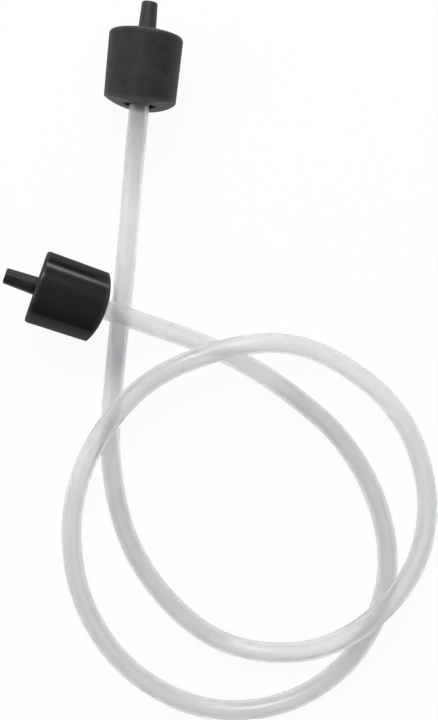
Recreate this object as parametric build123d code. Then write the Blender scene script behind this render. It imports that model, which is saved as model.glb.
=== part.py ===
"""A soft clear hose, lying in loose loops, with the same black plug pushed on each end.

Each plug is two pieces: a stiff nozzle with a barbed stem, and a thick rubber grip moulded round it.
Millimetres and degrees. +Z is up, the hose lies on the plane z = 0, and the origin is on that plane,
midway between the outer limits of the two plugs.

A plug is built along its own +X: x = 0 is its flat nozzle end, and the hose leaves towards +X.
"""

from build123d import *
from math import cos, pi, radians, sqrt, tan
import os

# ---- the hose ----
hose_bore_diameter = 4.0
hose_wall = 1.0

# ---- the grip, a thick round sleeve ----
grip_diameter = 22.0  # at the nozzle end
grip_side_length = 19.0  # from the nozzle end to the corners of the curved hose end
grip_draft = 0.7  # degrees a side, narrower towards the hose
grip_edge_radius = 1.0  # round the nozzle end
grip_crown_radius = 30.0  # the hose end is cut to a cylinder of this radius, across the grip
grip_web = 7.0  # rubber left between the nozzle end and the mouth
mouth_clearance = 1.8  # all round the hose, where it enters the grip
mouth_edge_chamfer = 0.3

# ---- the nozzle, a stiff insert ----
nozzle_length = 9.4
nozzle_tip_diameter = 4.7
nozzle_root_diameter = 5.5
nozzle_tip_radius = 0.4
air_passage_diameter = 2.4
collar_diameter = 8.0  # the ring that locks the nozzle in the rubber
collar_thickness = 1.5
collar_inset = 2.5  # from the nozzle end of the grip
flange_thickness = 1.5
flange_gap = 0.2  # from the flange to the wall of the mouth
insert_gap = 0.03  # from the nozzle to the rubber round it
stem_diameter = 3.6
stem_lead = 1.4  # bare stem between the flange and the first barb
barb_count = 3
barb_pitch = 2.6
barb_rise = 0.4  # how far a barb stretches the hose, on the radius

# ---- the hose end over the stem ----
stretched_wall = 0.85  # the wall is thinner where the barbs stretch it
stretch_taper = 2.5  # length of the cone back to the bare hose

# ---- how the hose and plugs lie ----
upper_mouth_place = (13.21, 19.83)
upper_heading = -96.4  # the way the hose leaves, anticlockwise from +X
upper_tilt = 5.0  # the hose holds the nozzle up by this angle
lower_mouth_place = (2.61, -40.61)
lower_heading = -18.8
lower_tilt = 11.5
lead_out = 8.0  # hose kept straight past the mouth
crossing_gap = 0.6  # air between two stretches where they cross
second_crossing_lift = 0.8  # more height where the hose crosses a stretch that is already rising
hump_start_rise = 1.0  # height gained at the last point before the long hump
hump_end_rise = 1.5  # height left at the first point after it
corner_share = 0.45  # of the shorter run, taken by the arc at its corner

# ---- worked out from the sizes above ----
hose_diameter = hose_bore_diameter + 2 * hose_wall
mouth_diameter = hose_diameter + 2 * mouth_clearance
flange_diameter = mouth_diameter - 2 * flange_gap
barb_diameter = hose_bore_diameter + 2 * barb_rise
hose_stop = grip_web + flange_thickness  # the hose end meets the flange here
stem_length = stem_lead + barb_count * barb_pitch
stretched_length = stem_length + stretch_taper
floor = hose_diameter / 2  # height of the centreline where the hose lies flat
over = floor + hose_diameter + crossing_gap  # and where it crosses a stretch that lies flat
high = over + second_crossing_lift


def grip_radius_at(x):
    """Outer radius of the drafted grip, x from its nozzle end."""
    return grip_diameter / 2 - x * tan(radians(grip_draft))


crown_height = grip_crown_radius - sqrt(grip_crown_radius**2 - grip_radius_at(grip_side_length) ** 2)
mouth_x = grip_side_length + crown_height

# The hose route between the plugs: one point for each corner of the runs.
hose_route = [
    (8.5, -27.2, floor),
    (5.0, -59.2, floor),
    (3.0, -87.2, floor),
    (9.6, -115.0, floor),
    (27.5, -136.7, floor),
    (46.0, -145.7, floor),
    (71.9, -142.6, over),
    (94.7, -123.3, over),
    (102.6, -98.7, floor),
    (93.5, -70.9, floor),
    (70.0, -53.0, floor + hump_start_rise),
    (49.0, -49.4, high),
    (24.5, -56.8, high),
    (10.6, -65.9, over),
    (-2.2, -82.8, over),
    (-9.0, -104.7, floor + hump_end_rise),
    (-5.6, -130.7, floor),
    (9.7, -152.4, floor),
    (34.5, -164.3, floor),
    (62.1, -160.6, floor),
    (83.2, -142.2, floor),
    (90.9, -114.1, floor),
    (78.9, -82.5, floor),
    (53.7, -61.4, floor),
    (33.5, -50.9, floor),
]


def turned(profile_points):
    """Solid of revolution about the plug's axis, from (distance along it, radius) points."""
    face = make_face(Polyline(*profile_points, close=True))
    return revolve(face, Axis.X)


def make_grip():
    """The rubber grip: drafted barrel, crowned hose end, undercut hole for the nozzle, open mouth."""
    blank_length = mouth_x + crown_height
    barrel = turned(
        [
            (0, 0),
            (0, grip_radius_at(0)),
            (blank_length, grip_radius_at(blank_length)),
            (blank_length, 0),
        ]
    )
    nozzle_end_edge = barrel.edges().group_by(Axis.X)[0].sort_by(SortBy.LENGTH)[-1]
    barrel = fillet(nozzle_end_edge, grip_edge_radius)
    crown = Pos(mouth_x - grip_crown_radius, 0, 0) * Cylinder(grip_crown_radius, 2 * grip_diameter)
    barrel = barrel & crown

    hole_radius = nozzle_root_diameter / 2 + insert_gap
    groove_radius = collar_diameter / 2 + insert_gap
    mouth_radius = mouth_diameter / 2
    bore = turned(
        [
            (-1, 0),
            (-1, hole_radius),
            (collar_inset - insert_gap, hole_radius),
            (collar_inset - insert_gap, groove_radius),
            (collar_inset + collar_thickness + insert_gap, groove_radius),
            (collar_inset + collar_thickness + insert_gap, hole_radius),
            (grip_web, hole_radius),
            (grip_web, mouth_radius),
            (blank_length, mouth_radius),
            (blank_length, 0),
        ]
    )
    grip = barrel - bore
    mouth_edge = grip.edges().group_by(Axis.X)[-1].sort_by(SortBy.LENGTH)[0]
    return chamfer(mouth_edge, mouth_edge_chamfer)


def barb_points():
    """(distance, radius) points along the stem: a steep step at each crest, then a long ramp down."""
    points = [(hose_stop + stem_lead, stem_diameter / 2)]
    for number in range(barb_count):
        crest_x = hose_stop + stem_lead + number * barb_pitch
        points.append((crest_x, barb_diameter / 2))
        points.append((crest_x + barb_pitch, stem_diameter / 2))
    return points


def make_nozzle():
    """The stiff insert: tapered nozzle, locking collar, flange against the web, barbed stem."""
    passage_radius = air_passage_diameter / 2
    root_radius = nozzle_root_diameter / 2
    collar_end = collar_inset + collar_thickness
    outline = [
        (-nozzle_length, passage_radius),
        (-nozzle_length, nozzle_tip_diameter / 2),
        (0, root_radius),
        (collar_inset, root_radius),
        (collar_inset, collar_diameter / 2),
        (collar_end, collar_diameter / 2),
        (collar_end, root_radius),
        (grip_web, root_radius),
        (grip_web, flange_diameter / 2),
        (hose_stop, flange_diameter / 2),
        (hose_stop, stem_diameter / 2),
        *barb_points(),
        (hose_stop + stem_length, passage_radius),
    ]
    nozzle = turned(outline)
    tip_edge = nozzle.edges().group_by(Axis.X)[0].sort_by(SortBy.LENGTH)[-1]
    return fillet(tip_edge, nozzle_tip_radius)


def make_hose_end():
    """The end of the hose that the barbs stretch, from the flange to where it is bare hose again."""
    start = hose_stop
    stem_end = hose_stop + stem_length
    end = hose_stop + stretched_length
    return turned(
        [
            (start, barb_diameter / 2),
            (start, barb_diameter / 2 + stretched_wall),
            (stem_end, barb_diameter / 2 + stretched_wall),
            (end, hose_diameter / 2),
            (end, hose_bore_diameter / 2),
            (stem_end, barb_diameter / 2),
        ]
    )


def plug_location(mouth_place, heading, tilt):
    """Where a plug lies: its crowned rim touches the floor below the mouth, and its nozzle is held up."""
    mouth_height = grip_radius_at(mouth_x) * cos(radians(tilt))
    return (
        Pos(mouth_place[0], mouth_place[1], mouth_height)
        * Rot(0, 0, heading)
        * Rot(0, tilt, 0)
        * Pos(-mouth_x, 0, 0)
    )


def on_axis(location, x):
    """The point on a placed plug's axis, x from its nozzle end."""
    return (location * Pos(x, 0, 0)).position


def corner_radii(points):
    """For each inner point, the arc radius that takes corner_share of the shorter run beside it."""
    radii = []
    for before, corner, after in zip(points, points[1:], points[2:]):
        turn = (corner - before).get_angle(after - corner)
        shorter_run = min((corner - before).length, (after - corner).length)
        radii.append(corner_share * shorter_run / tan(radians(turn) / 2))
    return radii


def make_hose(upper, lower):
    """The whole hose in one solid, from one plug's flange to the other's, with its bore."""
    corners = [
        on_axis(upper, hose_stop + stretched_length),
        on_axis(upper, mouth_x + lead_out),
        *[Vector(*point) for point in hose_route],
        on_axis(lower, mouth_x + lead_out),
        on_axis(lower, hose_stop + stretched_length),
    ]
    radii = corner_radii(corners)
    print("hose corner radii, mm:", [round(radius) for radius in radii])

    path = FilletPolyline(*corners, radius=radii)
    section_plane = Plane(origin=path @ 0, z_dir=path % 0)
    section = section_plane * (Circle(hose_diameter / 2) - Circle(hose_bore_diameter / 2))
    tube = sweep(section, path=path)
    section_area = pi * (hose_diameter**2 - hose_bore_diameter**2) / 4
    print("tube volume over section x length:", round(tube.volume / (section_area * path.length), 5))
    print("hose length, mm:", round(path.length + 2 * stretched_length, 1))
    print("least gap of the hose to itself, mm:", round(least_self_gap(path), 2))

    end = make_hose_end()
    return tube + upper * end + lower * end


def least_self_gap(path):
    """Smallest gap between two stretches of the hose, on points 2 mm apart along its centreline."""
    step = 2.0
    count = int(path.length / step)
    points = [path @ (number / count) for number in range(count + 1)]
    skip = int(4 * hose_diameter / step)
    least = min(
        (points[one] - points[other]).length
        for one in range(count + 1)
        for other in range(one + skip, count + 1)
    )
    return least - hose_diameter


def main():
    os.makedirs("parts", exist_ok=True)
    upper = plug_location(upper_mouth_place, upper_heading, upper_tilt)
    lower = plug_location(lower_mouth_place, lower_heading, lower_tilt)
    grip = make_grip()
    nozzle = make_nozzle()
    nodes = {
        "hose": make_hose(upper, lower),
        "upper_plug_grip": upper * grip,
        "upper_plug_nozzle": upper * nozzle,
        "lower_plug_grip": lower * grip,
        "lower_plug_nozzle": lower * nozzle,
    }
    for name, solid in nodes.items():
        export_step(solid, f"parts/{name}.step")
    plugs = Compound(children=[nodes[name] for name in nodes if name != "hose"]).bounding_box()
    print("plugs' middle:", plugs.center(), "lowest:", plugs.min.Z)


main()
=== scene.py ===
"""A milky, soft hose in loose loops, with a thick black plug and a thin nozzle on each end.

The plugs, the hose and the camera are sized in millimetres, finishes, lamps and the table in metres, and
angles are degrees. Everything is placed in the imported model's frame: +Z is up and the hose lies on z = 0.
A plug is built along its own +X, with x = 0 at the flat nozzle end and the hose leaving towards +X.
"""

import bmesh
import bpy
import logging
from dataclasses import dataclass, field
from enum import Enum
from math import ceil, cos, pi, radians, sin, sqrt, tan
from mathutils import Matrix, Vector
from typing import Any


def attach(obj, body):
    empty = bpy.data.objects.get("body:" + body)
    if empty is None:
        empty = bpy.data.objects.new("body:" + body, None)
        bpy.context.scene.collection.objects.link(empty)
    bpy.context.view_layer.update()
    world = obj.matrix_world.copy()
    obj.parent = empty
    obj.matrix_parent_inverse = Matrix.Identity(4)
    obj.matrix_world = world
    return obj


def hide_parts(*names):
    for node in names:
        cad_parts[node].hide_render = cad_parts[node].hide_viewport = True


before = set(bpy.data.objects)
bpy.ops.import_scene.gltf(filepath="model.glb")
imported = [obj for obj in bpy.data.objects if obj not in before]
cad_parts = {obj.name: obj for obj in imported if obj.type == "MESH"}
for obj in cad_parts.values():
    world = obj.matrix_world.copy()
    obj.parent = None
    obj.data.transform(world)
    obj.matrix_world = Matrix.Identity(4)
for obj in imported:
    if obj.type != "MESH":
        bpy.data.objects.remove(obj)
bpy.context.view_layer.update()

MM = 0.001
FULL_NODE_PREFIXES = ("ShaderNode", "GeometryNode", "NodeGroup", "FunctionNode")
log = logging.getLogger("hose_with_plugs")


# ---------------------------------------------------------------- node helpers


class Socket:
    """An output socket that takes part in Python arithmetic by adding Math nodes."""

    def __init__(self, graph: "Graph", socket: Any) -> None:
        """Wraps one output socket of a graph."""
        self.graph = graph
        self.socket = socket

    def _math(self, operation: str, *values: Any) -> "Socket":
        """Adds one Math node.

        Args:
            operation: the Math node's operation.
            values: sockets or numbers for its inputs, in order.

        Returns:
            The node's result.
        """
        inputs = dict(enumerate(values))
        return self.graph.add("Math", {"operation": operation}, inputs)

    def __add__(self, other: Any) -> "Socket":
        """self + other."""
        return self._math("ADD", self, other)

    def __radd__(self, other: Any) -> "Socket":
        """other + self."""
        return self._math("ADD", other, self)

    def __sub__(self, other: Any) -> "Socket":
        """self - other."""
        return self._math("SUBTRACT", self, other)

    def __rsub__(self, other: Any) -> "Socket":
        """other - self."""
        return self._math("SUBTRACT", other, self)

    def __mul__(self, other: Any) -> "Socket":
        """self * other."""
        return self._math("MULTIPLY", self, other)

    def __rmul__(self, other: Any) -> "Socket":
        """other * self."""
        return self._math("MULTIPLY", other, self)

    def __truediv__(self, other: Any) -> "Socket":
        """self / other."""
        return self._math("DIVIDE", self, other)

    def __rtruediv__(self, other: Any) -> "Socket":
        """other / self."""
        return self._math("DIVIDE", other, self)

    def root(self) -> "Socket":
        """Square root."""
        return self._math("SQRT", self)

    def sine(self) -> "Socket":
        """Sine of self, in radians."""
        return self._math("SINE", self)

    def cosine(self) -> "Socket":
        """Cosine of self, in radians."""
        return self._math("COSINE", self)

    def greater_of(self, other: Any) -> "Socket":
        """The greater of self and other."""
        return self._math("MAXIMUM", self, other)

    def magnitude(self) -> "Socket":
        """Self without its sign."""
        return self.greater_of(self * -1.0)

    def whole(self) -> "Socket":
        """Self rounded down."""
        return self._math("FLOOR", self)

    def remainder(self, other: Any) -> "Socket":
        """What is left of self after whole steps of other."""
        return self._math("FLOORED_MODULO", self, other)


class Graph:
    """A node tree that is written as a list of calls."""

    def __init__(self, tree: bpy.types.NodeTree, prefix: str = "ShaderNode") -> None:
        """Empties a tree, which is then filled with nodes.

        Args:
            tree: the node tree.
            prefix: how the names of its own kind of nodes start.
        """
        self.tree = tree
        self.prefix = prefix
        tree.nodes.clear()

    def node(
        self,
        kind: str,
        settings: dict[str, Any] | None = None,
        inputs: dict[Any, Any] | None = None,
    ) -> Any:
        """Adds a node.

        Args:
            kind: the node's type, with or without the tree's prefix.
            settings: its properties, set before its sockets. A "stops" entry fills a colour ramp.
            inputs: values or Sockets for its inputs, by name or index.

        Returns:
            The new node.
        """
        full_name = kind if kind.startswith(FULL_NODE_PREFIXES) else self.prefix + kind
        made = self.tree.nodes.new(full_name)
        for name, value in (settings or {}).items():
            if name == "stops":
                self._fill_ramp(made.color_ramp, value)
            else:
                setattr(made, name, value)
        for name, value in (inputs or {}).items():
            target = made.inputs[name]
            if isinstance(value, Socket):
                self.tree.links.new(value.socket, target)
            else:
                target.default_value = value
        return made

    def add(
        self,
        kind: str,
        settings: dict[str, Any] | None = None,
        inputs: dict[Any, Any] | None = None,
        output: Any = 0,
    ) -> Socket:
        """Adds a node and gives one of its outputs.

        Args:
            kind: the node's type.
            settings: its properties.
            inputs: values or Sockets for its inputs.
            output: the name or index of the wanted output.

        Returns:
            That output.
        """
        kind = "ShaderNodeMath" if kind == "Math" else kind
        return Socket(self, self.node(kind, settings, inputs).outputs[output])

    @staticmethod
    def _fill_ramp(ramp: Any, stops: list[tuple[float, tuple[float, ...]]]) -> None:
        """Puts stops on a colour ramp.

        Args:
            ramp: the ramp, with the two stops that a new one has.
            stops: (place, colour) of each stop, in order.
        """
        while len(ramp.elements) < len(stops):
            ramp.elements.new(0.5)
        for element, (place, colour) in zip(ramp.elements, stops):
            element.position = place
            element.color = (*colour, 1.0)


def grey(level: float) -> tuple[float, float, float]:
    """A neutral colour of that linear level."""
    return (level, level, level)


# ---------------------------------------------------------------- finishes


@dataclass(frozen=True)
class MilkyHoseFinish:
    """Soft see-through hose: a milky haze in a clear wall, with a gloss skin.

    Fine streaks run along it, with four duller lines spaced round it, placed so that from above they fall a
    fifth
    of the width in from each edge. Its stretches are (share of the length, level) stops of painted light and
    shade:
    the hose is painted lighter where it rises off the table, and darker where it lies on it, by the crossings
    and next to the upper plug.
    """

    clear: tuple[float, float, float] = (0.998, 0.998, 0.998)
    # The duller end is the hose's murky tone and also the painted shade of its darker stretches.
    dull_and_painted_shade: tuple[float, float, float] = (0.66, 0.66, 0.678)
    wall_tint: tuple[float, float, float] = (0.0, 0.0, 0.05)
    wall_density: float = 24.0
    haze: float = 0.16
    haze_depth: float = 0.003
    roughness: float = 0.2
    refraction: float = 1.22
    skin: float = 0.8
    skin_roughness: float = 0.18
    length: float = 0.737
    streak_share: float = 0.9
    streak_detail: float = 4.0
    streak_roughness: float = 0.6
    streaks_along: float = 6.0
    streaks_round: float = 6.0
    streak_depth: float = 0.000002
    streak_strength: float = 0.6
    cloud_share: float = 0.15
    cloud_detail: float = 3.0
    cloud_size: float = 0.009
    cloud_roughness: float = 0.12
    duller_line_place: float = 0.6
    duller_line_width: float = 0.09
    duller_line_share: float = 0.25
    # Painted light and shade along the hose: lighter where it rises off the table, darker where it lies on
    # it.
    stretches: tuple[tuple[float, float], ...] = (
        (0.02, 0.3),
        (0.06, 0.95),
        (0.1, 0.9),
        (0.12, 0.1),
        (0.14, 0.85),
        (0.18, 0.5),
        (0.25, 0.6),
        (0.3, 0.95),
        (0.36, 0.65),
        (0.4, 0.85),
        (0.43, 1.0),
        (0.49, 1.0),
        (0.52, 0.7),
        (0.58, 0.92),
        (0.64, 0.6),
        (0.72, 0.6),
        (0.86, 0.55),
        (0.897, 0.5),
        (0.92, 1.0),
        (1.0, 0.95),
    )

    def material(self, name: str) -> bpy.types.Material:
        """Builds the material.

        Args:
            name: the material's name.

        Returns:
            The new material.
        """
        made = bpy.data.materials.new(name)
        made.use_nodes = True
        graph = Graph(made.node_tree)
        place = graph.add("TexCoord", output="Object")
        parts = graph.node("SeparateXYZ", {}, {"Vector": graph.add("UVMap", {"uv_map": "length_and_turn"})})
        along = Socket(graph, parts.outputs["X"]) / self.length
        turn = Socket(graph, parts.outputs["Y"]) * (2 * pi)
        drawn = graph.add(
            "CombineXYZ",
            {},
            {
                "X": along * self.streaks_along,
                "Y": turn.cosine() * self.streaks_round,
                "Z": turn.sine() * self.streaks_round,
            },
        )
        streaks = graph.add(
            "TexNoise",
            {},
            {
                "Vector": drawn,
                "Scale": 1.0,
                "Detail": self.streak_detail,
                "Roughness": self.streak_roughness,
            },
        )
        clouds = graph.add(
            "TexNoise",
            {},
            {"Vector": place, "Scale": 1.0 / self.cloud_size, "Detail": self.cloud_detail},
        )
        stops = [(spot, grey(level)) for spot, level in self.stretches]
        stretch = graph.add("ValToRGB", {"stops": stops}, {"Fac": along})
        # Four duller lines at fixed turns round the hose, which from above fall a fifth of the width in from
        # each edge.
        off_line = (turn.cosine().magnitude() - self.duller_line_place).magnitude()
        duller_lines = (1.0 - off_line / self.duller_line_width).greater_of(0.0)
        # The painted light and shade of the stretches, added to the random streaks and clouds.
        clearness_and_painted_light = stretch + (streaks - 0.5) * self.streak_share + (clouds - 0.5) * self.cloud_share
        clearness_and_painted_light = clearness_and_painted_light - duller_lines * self.duller_line_share
        tone = graph.add(
            "MixRGB",
            {"blend_type": "MIX", "use_clamp": True},
            {"Fac": clearness_and_painted_light, "Color1": (*self.dull_and_painted_shade, 1.0), "Color2": (*self.clear, 1.0)},
        )
        bump = graph.add(
            "Bump",
            {},
            {"Height": streaks, "Distance": self.streak_depth, "Strength": self.streak_strength},
        )
        rough = self.roughness + (clouds - 0.5) * self.cloud_roughness
        shader = graph.add(
            "BsdfPrincipled",
            {},
            {
                "Base Color": tone,
                "Roughness": rough,
                "Normal": bump,
                "IOR": self.refraction,
                "Transmission Weight": 1.0 - self.haze,
                "Subsurface Weight": 1.0,
                "Subsurface Radius": grey(1.0),
                "Subsurface Scale": self.haze_depth,
                "Coat Weight": self.skin,
                "Coat Roughness": self.skin_roughness,
            },
        )
        wall = graph.add(
            "VolumeAbsorption",
            {},
            {"Color": (*self.wall_tint, 1.0), "Density": self.wall_density},
        )
        graph.node("OutputMaterial", {}, {"Surface": shader, "Volume": wall})
        return made


@dataclass(frozen=True)
class BlackMouldingFinish:
    """Black moulded rubber or plastic: fine grain, cloudy patches from handling, and edges painted paler, as
    rubbed wear and as a painted highlight.

    Where it has a skin, that is a thin gloss, full where the surface is faced and gone where it turns away.
    """

    shade: float = 0.02
    blotch: float = 0.006
    roughness: float = 0.45
    refraction: float = 1.5
    gloss: float = 0.3
    skin: float = 0.0
    skin_roughness: float = 0.3
    skin_fade: float = 1.2
    skin_blend: float = 0.5
    grain_size: float = 0.0004
    grain_depth: float = 0.00003
    grain_detail: float = 3.0
    grain_strength: float = 0.5
    blotch_size: float = 0.004
    blotch_detail: float = 4.0
    blotch_edge: float = 0.65
    blotch_stops: tuple[float, float] = (0.36, 0.64)
    blotch_roughness: float = 0.22
    rub_and_painted_highlight: float = 0.06
    coolness: float = 1.12

    def material(self, name: str) -> bpy.types.Material:
        """Builds the material.

        Args:
            name: the material's name.

        Returns:
            The new material.
        """
        made = bpy.data.materials.new(name)
        made.use_nodes = True
        graph = Graph(made.node_tree)
        place = graph.add("TexCoord", output="Object")
        grain = graph.add(
            "TexNoise",
            {},
            {"Vector": place, "Scale": 1.0 / self.grain_size, "Detail": self.grain_detail},
        )
        blotches = graph.add(
            "TexNoise",
            {},
            {
                "Vector": place,
                "Scale": 1.0 / self.blotch_size,
                "Detail": self.blotch_detail,
                "Roughness": self.blotch_edge,
            },
        )
        edge = graph.add("Attribute", {"attribute_name": "edge"}, output="Fac")
        levels = (self.shade - self.blotch, self.shade + self.blotch)
        stops = [
            (stop, (level, level, level * self.coolness)) for stop, level in zip(self.blotch_stops, levels)
        ]
        body = graph.add("ValToRGB", {"stops": stops}, {"Fac": blotches})
        # The edge mask paints the corners paler: partly rubbed wear, partly a painted highlight.
        base = graph.add(
            "MixRGB",
            {"blend_type": "MIX"},
            {"Fac": edge * blotches, "Color1": body, "Color2": (*grey(self.shade + self.rub_and_painted_highlight), 1.0)},
        )
        rough = self.roughness + (blotches - 0.5) * self.blotch_roughness
        bump = graph.add(
            "Bump",
            {},
            {"Height": grain, "Distance": self.grain_depth, "Strength": self.grain_strength},
        )
        finish = {
            "Base Color": base,
            "Roughness": rough,
            "Normal": bump,
            "IOR": self.refraction,
            "Specular IOR Level": self.gloss,
        }
        if self.skin > 0.0:
            slant = graph.add("LayerWeight", {}, {"Blend": self.skin_blend}, output="Facing")
            skin = ((1.0 - slant * self.skin_fade) * self.skin).greater_of(0.0)
            finish |= {"Coat Weight": skin, "Coat Roughness": self.skin_roughness}
        shader = graph.add("BsdfPrincipled", {}, finish)
        graph.node("OutputMaterial", {}, {"Surface": shader})
        return made


# ---------------------------------------------------------------- mesh helpers


def shown(name: str, mesh: bpy.types.Mesh, material: bpy.types.Material) -> bpy.types.Object:
    """Puts a finished mesh in the scene as one piece of the object.

    Args:
        name: the piece's name.
        mesh: its mesh, already in place.
        material: its finish.

    Returns:
        The new object, riding on the only body.
    """
    mesh.materials.clear()
    mesh.materials.append(material)
    mesh.polygons.foreach_set("use_smooth", [True] * len(mesh.polygons))
    piece = bpy.data.objects.new(name, mesh)
    bpy.context.scene.collection.objects.link(piece)
    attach(piece, "root")
    return piece


@dataclass(frozen=True)
class Corner:
    """A section's corner, in millimetres: its place along the axis, distance from it and how round it is."""

    along: float
    out: float
    rounding: float = 0.0


def section_points(corners: list[Corner], longest_run: float, steps: int = 8) -> list[Vector]:
    """Rounds the corners of a closed section and divides its long runs.

    Args:
        corners: the section's corners, in order round it.
        longest_run: the longest straight run left undivided, in millimetres.
        steps: runs on each rounded corner.

    Returns:
        The section's points, with x along the axis and y out from it.
    """
    rounded: list[Vector] = []
    count = len(corners)
    for index, corner in enumerate(corners):
        here = Vector((corner.along, corner.out))
        if corner.rounding == 0:
            rounded.append(here)
            continue
        last, following = corners[index - 1], corners[(index + 1) % count]
        before = (Vector((last.along, last.out)) - here).normalized()
        after = (Vector((following.along, following.out)) - here).normalized()
        half = before.angle(after) / 2
        centre = here + (before + after).normalized() * (corner.rounding / sin(half))
        start = here + before * (corner.rounding / tan(half)) - centre
        end = here + after * (corner.rounding / tan(half)) - centre
        sweep = start.angle_signed(end)
        rounded += [centre + Matrix.Rotation(-sweep * step / steps, 2) @ start for step in range(steps + 1)]
    points: list[Vector] = []
    for one, other in zip(rounded, rounded[1:] + rounded[:1]):
        runs = max(1, ceil((other - one).length / longest_run))
        points += [one.lerp(other, run / runs) for run in range(runs)]
    return points


class Spinner:
    """Geometry Nodes that spin a closed section about the X axis and crown one end of the part.

    Its lengths are millimetres. The crown is part of a cylinder, so it falls away towards two sides only.
    """

    JOIN_DISTANCE = 0.001
    INPUTS = {
        "Points": "NodeSocketInt",
        "Facets": "NodeSocketInt",
        "Crown start": "NodeSocketFloat",
        "Crown top": "NodeSocketFloat",
        "Crown radius": "NodeSocketFloat",
        "Worn corner": "NodeSocketFloat",
        "Worn width": "NodeSocketFloat",
        "Finish": "NodeSocketMaterial",
    }

    def __init__(self) -> None:
        """Builds the node tree, which takes the section's points as its geometry."""
        self.tree = bpy.data.node_groups.new("spun_part", "GeometryNodeTree")
        graph = Graph(self.tree, "GeometryNode")
        interface = self.tree.interface
        interface.new_socket("Section", in_out="INPUT", socket_type="NodeSocketGeometry")
        self.identifiers = {
            name: interface.new_socket(name, in_out="INPUT", socket_type=kind).identifier
            for name, kind in self.INPUTS.items()
        }
        interface.new_socket("Part", in_out="OUTPUT", socket_type="NodeSocketGeometry")
        given = graph.node("NodeGroupInput")
        value = {name: Socket(graph, given.outputs[name]) for name in ("Section", *self.INPUTS)}
        rings, facets = value["Points"] + 1, value["Facets"] + 1
        sheet = graph.add("MeshGrid", {}, {"Vertices X": rings, "Vertices Y": facets})
        number = graph.add("InputIndex")
        point = (number / facets).whole().remainder(value["Points"])
        turn = number.remainder(facets).remainder(value["Facets"]) / value["Facets"] * (2 * pi)
        sampled = graph.add(
            "SampleIndex",
            {"data_type": "FLOAT_VECTOR", "domain": "POINT"},
            {"Geometry": value["Section"], "Value": graph.add("InputPosition"), "Index": point},
        )
        split = graph.node("ShaderNodeSeparateXYZ", {}, {"Vector": sampled})
        along, out = Socket(graph, split.outputs["X"]), Socket(graph, split.outputs["Y"])
        across = out * turn.cosine()
        top, start, radius = value["Crown top"], value["Crown start"], value["Crown radius"]
        drop = radius - (radius * radius - across * across).root()
        share = (along - start).greater_of(0.0) / (top - start)
        place = graph.add(
            "ShaderNodeCombineXYZ",
            {},
            {"X": along - share * drop, "Y": across, "Z": out * turn.sine()},
        )
        spun = graph.add("SetPosition", {}, {"Geometry": sheet, "Position": place})
        # Marks the corners at both ends, which the finish paints paler, as wear and as a painted highlight.
        near_start = self._nearness(along, out, 0.0, value["Worn corner"], value["Worn width"])
        near_top = self._nearness(along, out, top, value["Worn corner"], value["Worn width"])
        wear_and_painted_light = graph.add(
            "StoreNamedAttribute",
            {"data_type": "FLOAT", "domain": "POINT"},
            {"Geometry": spun, "Name": "edge", "Value": near_start.greater_of(near_top)},
        )
        closed = graph.add("MergeByDistance", {}, {"Geometry": wear_and_painted_light, "Distance": self.JOIN_DISTANCE})
        plain = graph.add("RealizeInstances", {}, {"Geometry": closed})
        dressed = graph.add("SetMaterial", {}, {"Geometry": plain, "Material": value["Finish"]})
        graph.node("NodeGroupOutput", {}, {"Part": dressed})

    @staticmethod
    def _nearness(along: Socket, out: Socket, place: Any, corner: Socket, width: Socket) -> Socket:
        """1 at the point (place, corner) of the section, falling to 0 at width from it."""
        apart = (along - place) * (along - place) + (out - corner) * (out - corner)
        return (1.0 - apart.root() / width).greater_of(0.0)

    def spin(self, name: str, points: list[Vector], sizes: dict[str, Any]) -> bpy.types.Mesh:
        """Spins one section.

        Args:
            name: the new mesh's name.
            points: the section's points, from section_points.
            sizes: values for the tree's other inputs, by name.

        Returns:
            The closed mesh, in millimetres about the X axis.
        """
        section = bpy.data.meshes.new(name + "_section")
        section.from_pydata([(point.x, point.y, 0) for point in points], [], [])
        holder = bpy.data.objects.new(name + "_section", section)
        bpy.context.scene.collection.objects.link(holder)
        modifier = holder.modifiers.new("spin", "NODES")
        modifier.node_group = self.tree
        for wanted, size in {"Points": len(points), **sizes}.items():
            modifier[self.identifiers[wanted]] = size
        bpy.context.view_layer.update()
        evaluated = holder.evaluated_get(bpy.context.evaluated_depsgraph_get())
        mesh = bpy.data.meshes.new_from_object(evaluated)
        mesh.name = name
        bpy.data.objects.remove(holder)
        bpy.data.meshes.remove(section)
        shape = bmesh.new()
        shape.from_mesh(mesh)
        bmesh.ops.recalc_face_normals(shape, faces=shape.faces)
        shape.to_mesh(mesh)
        shape.free()
        return mesh


# ---------------------------------------------------------------- the plugs


class PlugName(Enum):
    """The two plugs."""

    UPPER = "upper"
    LOWER = "lower"


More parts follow.
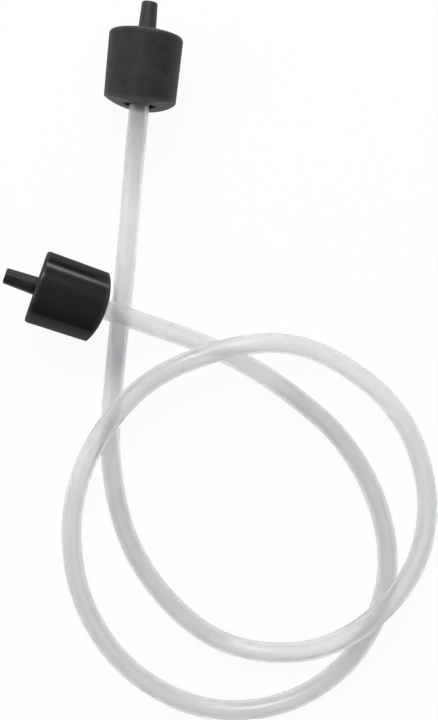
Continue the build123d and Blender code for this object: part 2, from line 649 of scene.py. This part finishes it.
@dataclass
class Plug:
    """A grip moulded round a stiff nozzle, lying with its nozzle held up.

    Runs are the longest straight stretches of a section that are left undivided.
    """

    name: PlugName
    mouth_place: tuple[float, float]
    heading: float
    tilt: float
    grip_diameter: float = 22.0
    side_length: float = 19.0
    draft: float = 0.7
    edge_radius: float = 1.0
    hole_edge: float = 0.15
    crown_radius: float = 30.0
    crown_edge: float = 0.2
    web: float = 7.0
    mouth_diameter: float = 9.6
    mouth_edge: float = 0.3
    mouth_bottom_edge: float = 0.3
    nozzle_length: float = 9.4
    nozzle_tip: float = 4.7
    nozzle_root: float = 5.5
    tip_radius: float = 0.4
    air_passage: float = 2.4
    passage_edge: float = 0.2
    collar_diameter: float = 8.0
    collar_thickness: float = 1.5
    collar_inset: float = 2.5
    flange_thickness: float = 1.5
    flange_gap: float = 0.2
    insert_gap: float = 0.03
    wear_and_highlight_width: float = 1.6
    stem_diameter: float = 3.6
    stem_lead: float = 1.4
    barb_count: int = 3
    barb_pitch: float = 2.6
    barb_rise: float = 0.4
    facets_round: int = 112
    grip_run: float = 0.6
    nozzle_run: float = 0.8
    no_crown_radius: float = 1000.0

    def radius_at(self, x: float) -> float:
        """Outer radius of the drafted grip, x from its nozzle end, in millimetres."""
        return self.grip_diameter / 2 - x * tan(radians(self.draft))

    @property
    def mouth_x(self) -> float:
        """Distance from the nozzle end to the middle of the crowned end, in millimetres."""
        rim = self.radius_at(self.side_length)
        return self.side_length + self.crown_radius - sqrt(self.crown_radius**2 - rim**2)

    def place(self) -> Matrix:
        """Works out where the plug lies, with its crowned end's rim on the floor.

        Returns:
            The matrix from the plug's own millimetres to the frame's metres.
        """
        height = self.radius_at(self.mouth_x) * cos(radians(self.tilt))
        at = Matrix.Translation(Vector((*self.mouth_place, height)) * MM)
        turn = Matrix.Rotation(radians(self.heading), 4, "Z") @ Matrix.Rotation(radians(self.tilt), 4, "Y")
        return at @ turn @ Matrix.Scale(MM, 4) @ Matrix.Translation((-self.mouth_x, 0, 0))

    def on_axis(self, x: float) -> Vector:
        """The point on the plug's axis, x millimetres from its nozzle end, in the frame."""
        return self.place() @ Vector((x, 0, 0))

    def grip_corners(self) -> list[Corner]:
        """Lists the corners of the grip's section.

        Returns:
            The corners, from its hole for the nozzle out and round to the mouth, and back by the groove.
        """
        hole = self.nozzle_root / 2 + self.insert_gap
        groove = self.collar_diameter / 2 + self.insert_gap
        groove_start = self.collar_inset - self.insert_gap
        groove_end = self.collar_inset + self.collar_thickness + self.insert_gap
        mouth = self.mouth_diameter / 2
        return [
            Corner(0, hole, self.hole_edge),
            Corner(0, self.radius_at(0), self.edge_radius),
            Corner(self.mouth_x, self.radius_at(self.mouth_x), self.crown_edge),
            Corner(self.mouth_x, mouth, self.mouth_edge),
            Corner(self.web, mouth, self.mouth_bottom_edge),
            Corner(self.web, hole),
            Corner(groove_end, hole),
            Corner(groove_end, groove),
            Corner(groove_start, groove),
            Corner(groove_start, hole),
        ]

    def nozzle_corners(self) -> list[Corner]:
        """Lists the corners of the nozzle's section.

        Returns:
            The corners, from its tip along its outside to the barbed stem's end. The air passage closes them.
        """
        passage = self.air_passage / 2
        root = self.nozzle_root / 2
        collar = self.collar_diameter / 2
        collar_end = self.collar_inset + self.collar_thickness
        flange = self.mouth_diameter / 2 - self.flange_gap
        flange_end = self.web + self.flange_thickness
        stem = self.stem_diameter / 2
        barbs = []
        for number in range(self.barb_count):
            crest = flange_end + self.stem_lead + number * self.barb_pitch
            barbs += [
                Corner(crest, stem),
                Corner(crest, stem + self.barb_rise),
                Corner(crest + self.barb_pitch, stem),
            ]
        return [
            Corner(-self.nozzle_length, passage, self.passage_edge),
            Corner(-self.nozzle_length, self.nozzle_tip / 2, self.tip_radius),
            Corner(0, root),
            Corner(self.collar_inset, root),
            Corner(self.collar_inset, collar),
            Corner(collar_end, collar),
            Corner(collar_end, root),
            Corner(self.web, root),
            Corner(self.web, flange),
            Corner(flange_end, flange),
            Corner(flange_end, stem),
            *barbs,
            Corner(flange_end + self.stem_lead + self.barb_count * self.barb_pitch, passage),
        ]

    def build(
        self,
        spinner: Spinner,
        rubber: bpy.types.Material,
        plastic: bpy.types.Material,
    ) -> list[bpy.types.Object]:
        """Builds the grip and the nozzle in place of their solids.

        Args:
            spinner: the node tree that spins both.
            rubber: the grip's finish.
            plastic: the nozzle's finish.

        Returns:
            The two pieces.
        """
        crown = {
            "Facets": self.facets_round,
            "Crown start": self.web + self.flange_thickness,
            "Crown top": self.mouth_x,
            "Crown radius": self.crown_radius,
            "Worn corner": self.radius_at(self.mouth_x / 2),
            "Worn width": self.wear_and_highlight_width,
            "Finish": rubber,
        }
        uncrowned = crown | {
            "Facets": self.facets_round // 2,
            "Crown radius": self.no_crown_radius,
            "Worn corner": 0.0,
            "Finish": plastic,
        }
        pieces = []
        for part, corners, run, sizes, slot in (
            ("grip", self.grip_corners(), self.grip_run, crown, "black_rubber"),
            ("nozzle", self.nozzle_corners(), self.nozzle_run, uncrowned, "black_plastic"),
        ):
            name = f"{self.name.value}_{part}"
            mesh = spinner.spin(name, section_points(corners, run), sizes)
            mesh.transform(self.place())
            piece = shown(name, mesh, sizes["Finish"])
            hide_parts(f"{self.name.value}_plug_{part}")
            pieces.append(piece)
        return pieces


# ---------------------------------------------------------------- the hose


@dataclass
class Hose:
    """The hose, from one plug's flange to the other's.

    The heights floor, over and high are its centreline's: flat on the table, over a flat stretch, and over a
    stretch that already rises. Its length, the cut length in metres, is not used.
    """

    upper: Plug
    lower: Plug
    diameter: float = 6.0
    bore: float = 4.0
    hose_stop: float = 8.5
    lead_out: float = 8.0
    stretched_length: float = 11.7
    stretch_taper: float = 2.5
    stretched_bore: float = 4.8
    stretched_wall: float = 0.85
    ring_pitch: float = 1.2
    facets_outside: int = 40
    facets_inside: int = 32
    length: float = 0.735
    floor: float = 3.0
    over: float = 9.6
    high: float = 10.4
    hump_start_rise: float = 1.0
    hump_end_rise: float = 1.5
    line_order: int = 3
    line_steps: int = 24

    def route(self) -> list[Vector]:
        """Lists the control points of the hose's line.

        Returns:
            The points, upper plug to lower plug, in the frame's metres.
        """
        floor, over, high = self.floor, self.over, self.high
        between = [
            (8.5, -27.2, floor),
            (5.0, -59.2, floor),
            (3.0, -87.2, floor),
            (9.6, -115.0, floor),
            (27.5, -136.7, floor),
            (46.0, -145.7, floor),
            (71.9, -142.6, over),
            (94.7, -123.3, over),
            (102.6, -98.7, floor),
            (93.5, -70.9, floor),
            (70.0, -53.0, floor + self.hump_start_rise),
            (49.0, -49.4, high),
            (24.5, -56.8, high),
            (10.6, -65.9, over),
            (-2.2, -82.8, over),
            (-9.0, -104.7, floor + self.hump_end_rise),
            (-5.6, -130.7, floor),
            (9.7, -152.4, floor),
            (34.5, -164.3, floor),
            (62.1, -160.6, floor),
            (83.2, -142.2, floor),
            (90.9, -114.1, floor),
            (78.9, -82.5, floor),
            (53.7, -61.4, floor),
            (33.5, -50.9, floor),
        ]
        out = self.hose_stop
        return [
            self.upper.on_axis(out),
            self.upper.on_axis(self.upper.mouth_x + self.lead_out),
            *[Vector(point) * MM for point in between],
            self.lower.on_axis(self.lower.mouth_x + self.lead_out),
            self.lower.on_axis(out),
        ]

    def line(self) -> list[Vector]:
        """Works out the hose's smooth centreline, a NURBS spline that the route's points steer.

        Returns:
            Close points along it, upper plug to lower plug, in the frame's metres.
        """
        points = self.route()
        curve = bpy.data.curves.new("hose_line", "CURVE")
        curve.dimensions = "3D"
        curve.resolution_u = self.line_steps
        spline = curve.splines.new("NURBS")
        spline.points.add(len(points) - 1)
        for control, point in zip(spline.points, points):
            control.co = (*point, 1.0)
        spline.order_u = self.line_order
        spline.use_endpoint_u = True
        holder = bpy.data.objects.new("hose_line", curve)
        bpy.context.scene.collection.objects.link(holder)
        bpy.context.view_layer.update()
        evaluated = holder.evaluated_get(bpy.context.evaluated_depsgraph_get())
        mesh = bpy.data.meshes.new_from_object(evaluated)
        line = [vertex.co.copy() for vertex in mesh.vertices]
        bpy.data.objects.remove(holder)
        bpy.data.curves.remove(curve)
        bpy.data.meshes.remove(mesh)
        return line

    def rings(self, line: list[Vector]) -> list[tuple[Vector, float]]:
        """Places for the tube's rings.

        Args:
            line: the centreline's points.

        Returns:
            (point, distance from the start in metres), about ring_pitch apart.
        """
        lengths = [0.0]
        for one, other in zip(line, line[1:]):
            lengths.append(lengths[-1] + (other - one).length)
        total = lengths[-1]
        count = round(total / (self.ring_pitch * MM))
        places = []
        index = 0
        for number in range(count + 1):
            want = total * number / count
            while index < len(line) - 2 and lengths[index + 1] < want:
                index += 1
            share = (want - lengths[index]) / (lengths[index + 1] - lengths[index])
            places.append((line[index].lerp(line[index + 1], share), want))
        return places

    def radii_at(self, distance: float) -> tuple[float, float]:
        """Works out how wide the hose is, as it is stretched over the barbed stems at its ends.

        Args:
            distance: metres from the nearer end of the hose.

        Returns:
            The outer and the inner radius, in metres.
        """
        cone_start = self.stretched_length - self.stretch_taper
        share = min(max((distance / MM - cone_start) / self.stretch_taper, 0.0), 1.0)
        inner = self.stretched_bore / 2 * (1 - share) + self.bore / 2 * share
        outer = (self.stretched_bore / 2 + self.stretched_wall) * (1 - share) + self.diameter / 2 * share
        return outer * MM, inner * MM

    def tube(self, line: list[Vector]) -> bpy.types.Mesh:
        """Builds the hose with its bore, closed at both ends.

        Args:
            line: the centreline's points.

        Returns:
            The mesh, with a UV map of length along the hose and turn round it.
        """
        places = self.rings(line)
        total = places[-1][1]
        count = len(places)
        side = None
        verts: list[Vector] = []
        outside, inside = self.facets_outside, self.facets_inside
        for index, (point, distance) in enumerate(places):
            ahead = places[min(index + 1, count - 1)][0] - places[max(index - 1, 0)][0]
            ahead.normalize()
            side = Vector((0, 0, 1)).cross(ahead) if side is None else side
            side = (side - ahead * side.dot(ahead)).normalized()
            up = ahead.cross(side)
            outer, inner = self.radii_at(min(distance, total - distance))
            for facets, radius in ((outside, outer), (inside, inner)):
                for step in range(facets):
                    turn = 2 * pi * step / facets
                    verts.append(point + (side * cos(turn) + up * sin(turn)) * radius)
        ring = outside + inside
        faces: list[tuple[int, ...]] = []
        uvs: list[tuple[float, float]] = []
        for index in range(count - 1):
            here, there = places[index][1], places[index + 1][1]
            for facets, start, inward in ((outside, 0, False), (inside, outside, True)):
                for step in range(facets):
                    following = (step + 1) % facets
                    low = index * ring + start
                    high = low + ring
                    quad = [low + step, low + following, high + following, high + step]
                    corners = [
                        (here, step / facets),
                        (here, (step + 1) / facets),
                        (there, (step + 1) / facets),
                        (there, step / facets),
                    ]
                    if inward:
                        quad.reverse()
                        corners.reverse()
                    faces.append(tuple(quad))
                    uvs.extend(corners)
        for index in (0, count - 1):
            self._close_end(index, ring, places[index][1], faces, uvs)
        mesh = bpy.data.meshes.new("hose_tube")
        mesh.from_pydata(verts, [], faces)
        layer = mesh.uv_layers.new(name="length_and_turn")
        for loop, corner in zip(layer.data, uvs):
            loop.uv = corner
        mesh.validate()
        return mesh

    def _close_end(
        self,
        index: int,
        ring: int,
        distance: float,
        faces: list[tuple[int, ...]],
        uvs: list[tuple[float, float]],
    ) -> None:
        """Adds the ring of faces between the outside and the bore at one end.

        Args:
            index: the end's ring of points, counted along the hose.
            ring: points in each ring, outside and bore together.
            distance: the ring's distance along the hose, for the UV map.
            faces: the tube's faces, which grow.
            uvs: the UV places of the faces' corners, which grow.
        """
        outside, inside = self.facets_outside, self.facets_inside
        low = index * ring
        outer_step = inner_step = 0
        while outer_step < outside or inner_step < inside:
            outer_next = (outer_step + 1) / outside
            inner_next = (inner_step + 1) / inside
            outer_vertex = low + outer_step % outside
            inner_vertex = low + outside + inner_step % inside
            if outer_step < outside and outer_next <= inner_next:
                outer_step += 1
                third = low + outer_step % outside
            else:
                inner_step += 1
                third = low + outside + inner_step % inside
            face = (outer_vertex, inner_vertex, third)
            faces.append(face if index == 0 else face[::-1])
            uvs.extend([(distance, 0.0)] * 3)

    def build(self, material: bpy.types.Material) -> bpy.types.Object:
        """Args:
            material: its finish.

        Returns:
            The piece.
        """
        line = self.line()
        piece = shown("soft_hose", self.tube(line), material)
        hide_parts("hose")
        return piece


# ---------------------------------------------------------------- the studio


@dataclass
class Lamp:
    """A soft lamp, width by height, that faces a point on the floor."""

    name: str
    heading: float
    height_angle: float
    distance: float
    width: float
    height: float
    power: float

    def build(self, target: Vector) -> None:
        """Adds the lamp.

        Args:
            target: the point that it faces.
        """
        data = bpy.data.lights.new(self.name, "AREA")
        data.shape = "RECTANGLE"
        data.size = self.width
        data.size_y = self.height
        data.energy = self.power
        lamp = bpy.data.objects.new(self.name, data)
        turn, rise = radians(self.heading), radians(self.height_angle)
        away = Vector((cos(turn) * cos(rise), sin(turn) * cos(rise), sin(rise)))
        lamp.location = target + away * self.distance
        lamp.rotation_euler = (-away).to_track_quat("-Z", "Y").to_euler()
        bpy.context.scene.collection.objects.link(lamp)


@dataclass
class Studio:
    """A white table seen from straight above, with soft lamps and a plain pale room."""

    view_centre: tuple[float, float] = (37.0, -55.73)
    camera_height: float = 308.8
    near_clip: float = 0.01
    lens: float = 50.0
    sensor: float = 36.0
    table_drop: float = 0.0002
    table_size: float = 3.0
    table_level: float = 0.98
    shadow_share: float = 0.06
    ceiling_level: float = 0.5
    back_level: float = 0.7
    front_level: float = 0.2
    lamps: list[Lamp] = field(
        default_factory=lambda: [
            Lamp("low_lamp", heading=74, height_angle=11, distance=1.1, width=0.3, height=0.15, power=1.9),
            Lamp("back_lamp", heading=95, height_angle=50, distance=0.9, width=0.5, height=0.3, power=3.8),
            Lamp("left_lamp", heading=180, height_angle=30, distance=0.9, width=0.3, height=0.3, power=1.0),
            Lamp("fill_lamp", heading=125, height_angle=50, distance=0.9, width=0.6, height=0.6, power=0.5),
        ]
    )

    def build(self) -> None:
        """Adds the camera, table, world and lamps."""
        scene = bpy.context.scene
        data = bpy.data.cameras.new("overhead_camera")
        data.lens = self.lens
        data.sensor_width = self.sensor
        data.clip_start = self.near_clip
        camera = bpy.data.objects.new("overhead_camera", data)
        camera.location = Vector((*self.view_centre, self.camera_height)) * MM
        scene.collection.objects.link(camera)
        scene.camera = camera
        scene.view_settings.view_transform = "Standard"
        self._table()
        self._world()
        target = Vector((*self.view_centre, 0)) * MM
        for lamp in self.lamps:
            lamp.build(target)

    @staticmethod
    def _seen_rays(graph: Graph) -> Socket:
        """Tells the rays that show the table from those that only light it.

        Args:
            graph: the table's node tree.

        Returns:
            1 for a ray from the camera, off a glossy surface or through a clear one, else 0.
        """
        path = graph.node("LightPath")
        camera = Socket(graph, path.outputs["Is Camera Ray"])
        glossy = Socket(graph, path.outputs["Is Glossy Ray"])
        through = Socket(graph, path.outputs["Is Transmission Ray"])
        return camera.greater_of(glossy).greater_of(through)

    def _table(self) -> None:
        """Adds the white table, which keeps a faint shadow."""
        half = self.table_size / 2
        x, y = (value * MM for value in self.view_centre)
        corners = [
            (x - half, y - half),
            (x + half, y - half),
            (x + half, y + half),
            (x - half, y + half),
        ]
        mesh = bpy.data.meshes.new("table")
        mesh.from_pydata([(*corner, -self.table_drop) for corner in corners], [], [(0, 1, 2, 3)])
        table = bpy.data.objects.new("table", mesh)
        bpy.context.scene.collection.objects.link(table)
        made = bpy.data.materials.new("white_table")
        made.use_nodes = True
        graph = Graph(made.node_tree)
        matt = graph.add("BsdfDiffuse", {}, {"Color": (*grey(self.table_level), 1.0)})
        white = graph.add("Emission", {}, {"Color": (*grey(1.0), 1.0), "Strength": 1.0})
        share = self._seen_rays(graph) * (1.0 - self.shadow_share)
        mixed = graph.add("MixShader", {}, {0: share, 1: matt, 2: white})
        graph.node("OutputMaterial", {}, {"Surface": mixed})
        mesh.materials.append(made)

    def _world(self) -> None:
        """Sets a plain pale room, paler behind than in front, and white where the camera sees it."""
        world = bpy.data.worlds.new("pale_room")
        world.use_nodes = True
        bpy.context.scene.world = world
        graph = Graph(world.node_tree)
        path = graph.node("LightPath")
        seen = Socket(graph, path.outputs["Is Camera Ray"])
        direction = graph.add("TexCoord", output="Generated")
        split = graph.node("SeparateXYZ", {}, {"Vector": direction})
        upward = Socket(graph, split.outputs["Z"]).greater_of(0.0)
        backward = Socket(graph, split.outputs["Y"]) * 0.5 + 0.5
        horizon = self.front_level + backward * (self.back_level - self.front_level)
        room = horizon + upward * (self.ceiling_level - horizon)
        level = room + seen * (1.0 - room)
        background = graph.add("Background", {}, {"Color": (*grey(1.0), 1.0), "Strength": level})
        graph.node("OutputWorld", {}, {"Surface": background})


def main() -> None:
    """Builds the studio, the hose and the plugs."""
    logging.basicConfig(level=logging.INFO, format="%(name)s: %(message)s")
    Studio().build()
    upper = Plug(PlugName.UPPER, mouth_place=(13.21, 19.83), heading=-96.4, tilt=5.0)
    lower = Plug(PlugName.LOWER, mouth_place=(2.61, -40.61), heading=-18.8, tilt=11.5)
    hose = Hose(upper, lower).build(MilkyHoseFinish().material("milky_hose"))
    log.info("made %s", hose.name)
    # The plugs share one moulding. The upper plug's copy is painted paler, as painted light, and the lower
    # plug's copy darker, as painted shade; the lower one is also glossier.
    wear_and_painted_light = BlackMouldingFinish(shade=0.02, roughness=0.6, gloss=0.3).material("painted_light_black_rubber")
    sleek_and_painted_shade = BlackMouldingFinish(
        shade=0.002,
        blotch=0.001,
        roughness=0.45,
        gloss=0.02,
        skin=0.75,
        skin_roughness=0.22,
    ).material("painted_shade_black_rubber")
    # The nozzles are also one plastic in two copies: painted paler on the upper plug as painted light, and
    # darker on the lower plug as painted shade.
    painted_light_plastic = BlackMouldingFinish(shade=0.035, roughness=0.42).material("painted_light_black_plastic")
    painted_shade_plastic = BlackMouldingFinish(
        shade=0.012,
        blotch=0.004,
        roughness=0.4,
        gloss=0.25,
    ).material("painted_shade_black_plastic")
    spinner = Spinner()
    for plug, rubber, plastic in ((upper, wear_and_painted_light, painted_light_plastic), (lower, sleek_and_painted_shade, painted_shade_plastic)):
        for piece in plug.build(spinner, rubber, plastic):
            log.info("made %s", piece.name)


if __name__ == "__main__":
    main()
